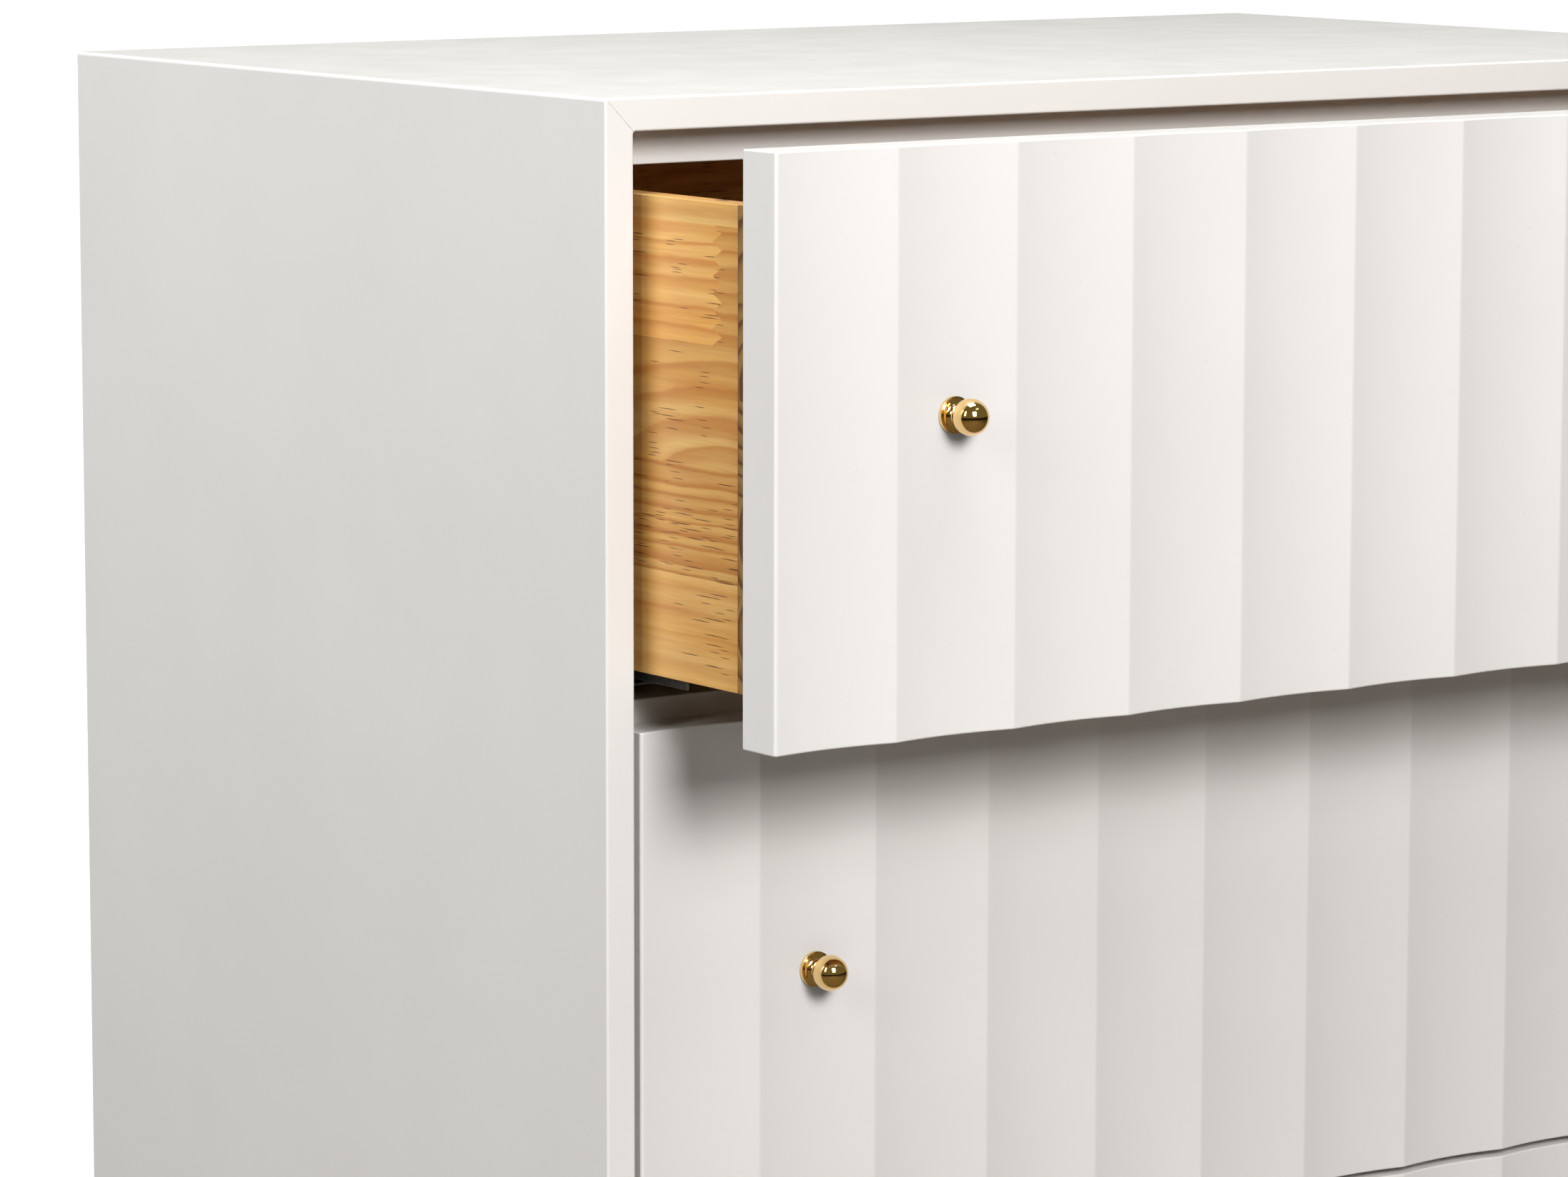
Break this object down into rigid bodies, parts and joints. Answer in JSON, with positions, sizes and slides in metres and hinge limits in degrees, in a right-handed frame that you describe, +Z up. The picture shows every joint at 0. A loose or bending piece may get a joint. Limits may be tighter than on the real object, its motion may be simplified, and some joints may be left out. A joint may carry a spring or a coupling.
{
  "type": "chest of drawers",
  "caption": "Free-standing chest with inset fluted drawer fronts, mitred white case, pine drawer boxes on full-extension slides and ball knobs.",
  "frame": {"origin": "on the floor, in the middle of the chest's box as it stands with its top drawer part open", "axes": "+X to the right across the fronts, +Y into the depth (the fronts face -Y), +Z up"},
  "size_m": [0.8, 0.6278, 0.922],
  "materials": {
    "white_lacquer": "warm white satin lacquer over wood board",
    "pine": "clear-finished finger-jointed pine",
    "polished_brass": "polished and clear lacquered",
    "zinc_steel": "zinc plated",
    "glide_plastic": "moulded"
  },
  "bodies": {
    "case": {"case_top": "white_lacquer", "case_bottom": "white_lacquer", "case_left_side": "white_lacquer", "case_right_side": "white_lacquer", "back_panel": "white_lacquer", "top_rail": "white_lacquer", "upper_rail": "white_lacquer", "lower_rail": "white_lacquer", "plinth_front": "white_lacquer", "plinth_back": "white_lacquer", "plinth_left": "white_lacquer", "plinth_right": "white_lacquer", "glides": "glide_plastic", "back_screws": "zinc_steel", "slide_screws": "zinc_steel", "top_slide_left_cabinet_member": "zinc_steel", "top_slide_right_cabinet_member": "zinc_steel", "middle_slide_left_cabinet_member": "zinc_steel", "middle_slide_right_cabinet_member": "zinc_steel", "bottom_slide_left_cabinet_member": "zinc_steel", "bottom_slide_right_cabinet_member": "zinc_steel"},
    "top_drawer": {"top_front": "white_lacquer", "top_box_front": "pine", "top_box_left": "pine", "top_box_right": "pine", "top_box_back": "pine", "top_box_bottom": "pine", "top_knobs": "polished_brass", "top_knob_screws": "zinc_steel", "top_front_screws": "zinc_steel", "top_slide_left_drawer_member": "zinc_steel", "top_slide_right_drawer_member": "zinc_steel"},
    "top_runners": {"top_slide_left_intermediate_member": "zinc_steel", "top_slide_right_intermediate_member": "zinc_steel"},
    "middle_drawer": {"middle_front": "white_lacquer", "middle_box_front": "pine", "middle_box_left": "pine", "middle_box_right": "pine", "middle_box_back": "pine", "middle_box_bottom": "pine", "middle_knobs": "polished_brass", "middle_knob_screws": "zinc_steel", "middle_front_screws": "zinc_steel", "middle_slide_left_drawer_member": "zinc_steel", "middle_slide_right_drawer_member": "zinc_steel"},
    "middle_runners": {"middle_slide_left_intermediate_member": "zinc_steel", "middle_slide_right_intermediate_member": "zinc_steel"},
    "bottom_drawer": {"bottom_front": "white_lacquer", "bottom_box_front": "pine", "bottom_box_left": "pine", "bottom_box_right": "pine", "bottom_box_back": "pine", "bottom_box_bottom": "pine", "bottom_knobs": "polished_brass", "bottom_knob_screws": "zinc_steel", "bottom_front_screws": "zinc_steel", "bottom_slide_left_drawer_member": "zinc_steel", "bottom_slide_right_drawer_member": "zinc_steel"},
    "bottom_runners": {"bottom_slide_left_intermediate_member": "zinc_steel", "bottom_slide_right_intermediate_member": "zinc_steel"}
  },
  "joints": [
    {"name": "bottom_drawer_slide", "type": "slide", "parent": "case", "child": "bottom_drawer", "axis": [0, -1, 0], "range_m": [0, 0.42]},
    {"name": "bottom_runner_slide", "type": "slide", "parent": "case", "child": "bottom_runners", "axis": [0, -1, 0], "range_m": [0, 0.21]},
    {"name": "middle_drawer_slide", "type": "slide", "parent": "case", "child": "middle_drawer", "axis": [0, -1, 0], "range_m": [0, 0.42]},
    {"name": "middle_runner_slide", "type": "slide", "parent": "case", "child": "middle_runners", "axis": [0, -1, 0], "range_m": [0, 0.21]},
    {"name": "top_drawer_slide", "type": "slide", "parent": "case", "child": "top_drawer", "axis": [0, -1, 0], "range_m": [-0.109, 0.311]},
    {"name": "top_runner_slide", "type": "slide", "parent": "case", "child": "top_runners", "axis": [0, -1, 0], "range_m": [-0.0545, 0.1555]}
  ],
  "couplings": [
    {"joint": "bottom_runner_slide", "follows": "bottom_drawer_slide", "ratio": 0.5},
    {"joint": "middle_runner_slide", "follows": "middle_drawer_slide", "ratio": 0.5},
    {"joint": "top_runner_slide", "follows": "top_drawer_slide", "ratio": 0.5}
  ]
}
